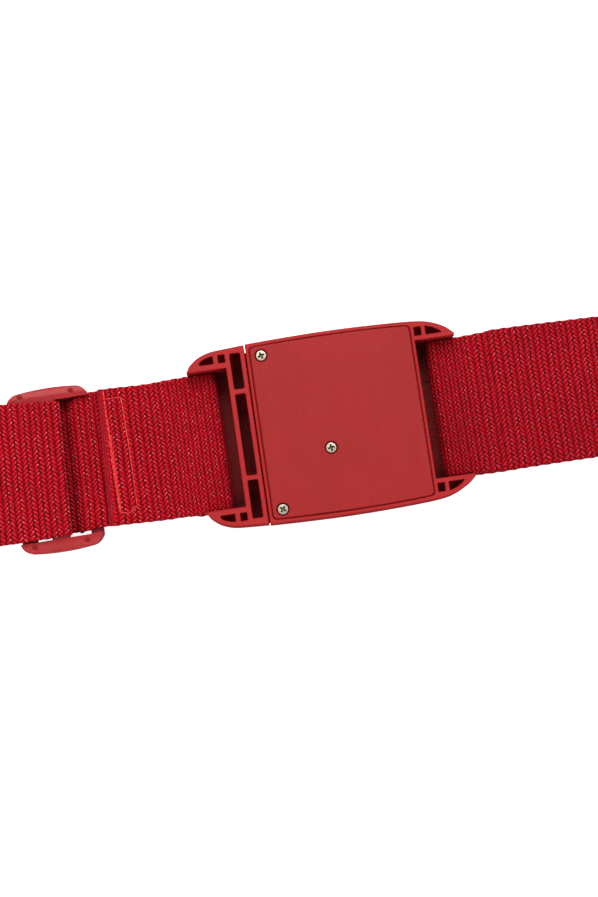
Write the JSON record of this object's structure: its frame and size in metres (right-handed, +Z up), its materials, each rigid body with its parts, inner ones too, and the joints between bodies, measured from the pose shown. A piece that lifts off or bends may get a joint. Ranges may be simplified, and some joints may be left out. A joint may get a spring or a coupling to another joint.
{
  "type": "luggage strap",
  "caption": "Adjustable webbing luggage strap with a combination-lock side-entry buckle, a removable insert and a three-bar slider, laid flat as a closed loop.",
  "frame": {"origin": "centre of the footprint, on the surface the strap lies on", "axes": "+X along the strap from the insert to the housing, +Y across the webbing, +Z up out of the back cover"},
  "size_m": [0.5, 0.0668, 0.0198],
  "materials": {
    "red_plastic": "fine spark-eroded moulded red plastic",
    "slider_plastic": "satin moulded red acetal",
    "button_plastic": "darker red moulded plastic",
    "webbing": "herringbone woven polypropylene webbing",
    "thread": "orange-red polyester sewing thread",
    "screw_metal": "pale nickel-brass plated steel",
    "hub_brass": "turned brass",
    "steel": "zinc plated steel",
    "dial_plastic": "black moulded plastic with pale digits"
  },
  "bodies": {
    "housing": {"housing_shell": "red_plastic", "back_cover": "red_plastic", "cover_screw_1": "screw_metal", "cover_screw_2": "screw_metal", "cover_screw_3": "screw_metal", "dial_axle": "steel", "dial_cradle": "steel", "detent_spring": "steel", "catch_leaf": "steel", "button_spring": "steel", "code_set_spring": "steel", "webbing_housing_loop": "webbing", "webbing_right_inner": "webbing", "webbing_right_outer": "webbing"},
    "insert": {"insert_frame": "red_plastic", "webbing_insert_loop": "webbing", "stitch_insert_loop": "thread", "webbing_left_run_inner": "webbing", "webbing_left_run_outer": "webbing", "webbing_left_inner": "webbing", "webbing_left_outer": "webbing"},
    "slider": {"slider": "slider_plastic", "webbing_through_slider": "webbing", "webbing_slider_loop": "webbing", "stitch_slider_loop": "thread"},
    "release": {"release_button": "button_plastic", "release_comb": "steel"},
    "code_set": {"code_set_pin": "steel"},
    "dial_1_ring": {"dial_1": "dial_plastic", "dial_hub_1": "hub_brass"},
    "dial_2_ring": {"dial_2": "dial_plastic", "dial_hub_2": "hub_brass"},
    "dial_3_ring": {"dial_3": "dial_plastic", "dial_hub_3": "hub_brass"}
  },
  "joints": [
    {"name": "insert_slide", "type": "slide", "parent": "housing", "child": "insert", "axis": [-1, 0, 0], "range_m": [0, 0.03], "deforming": ["catch_leaf"]},
    {"name": "slider_slide", "type": "slide", "parent": "insert", "child": "slider", "axis": [-1, 0, 0], "range_m": [0, 0.067], "deforming": ["webbing_left_run_inner", "webbing_left_run_outer"]},
    {"name": "release_press", "type": "slide", "parent": "housing", "child": "release", "axis": [0, 0, 1], "range_m": [0, 0.0015], "stiffness_N_per_m": 600, "springref_m": -0.002, "deforming": ["button_spring"]},
    {"name": "code_set_press", "type": "slide", "parent": "housing", "child": "code_set", "axis": [0, 0, 1], "range_m": [0, 0.0012], "stiffness_N_per_m": 500, "springref_m": -0.0015, "deforming": ["code_set_spring"]},
    {"name": "dial_1_turn", "type": "hinge", "parent": "housing", "child": "dial_1_ring", "pos_m": [0.014, 0.009, 0.0108], "axis": [0, 1, 0], "continuous": true},
    {"name": "dial_2_turn", "type": "hinge", "parent": "housing", "child": "dial_2_ring", "pos_m": [0.014, 0, 0.0108], "axis": [0, 1, 0], "continuous": true},
    {"name": "dial_3_turn", "type": "hinge", "parent": "housing", "child": "dial_3_ring", "pos_m": [0.014, -0.009, 0.0108], "axis": [0, 1, 0], "continuous": true}
  ]
}
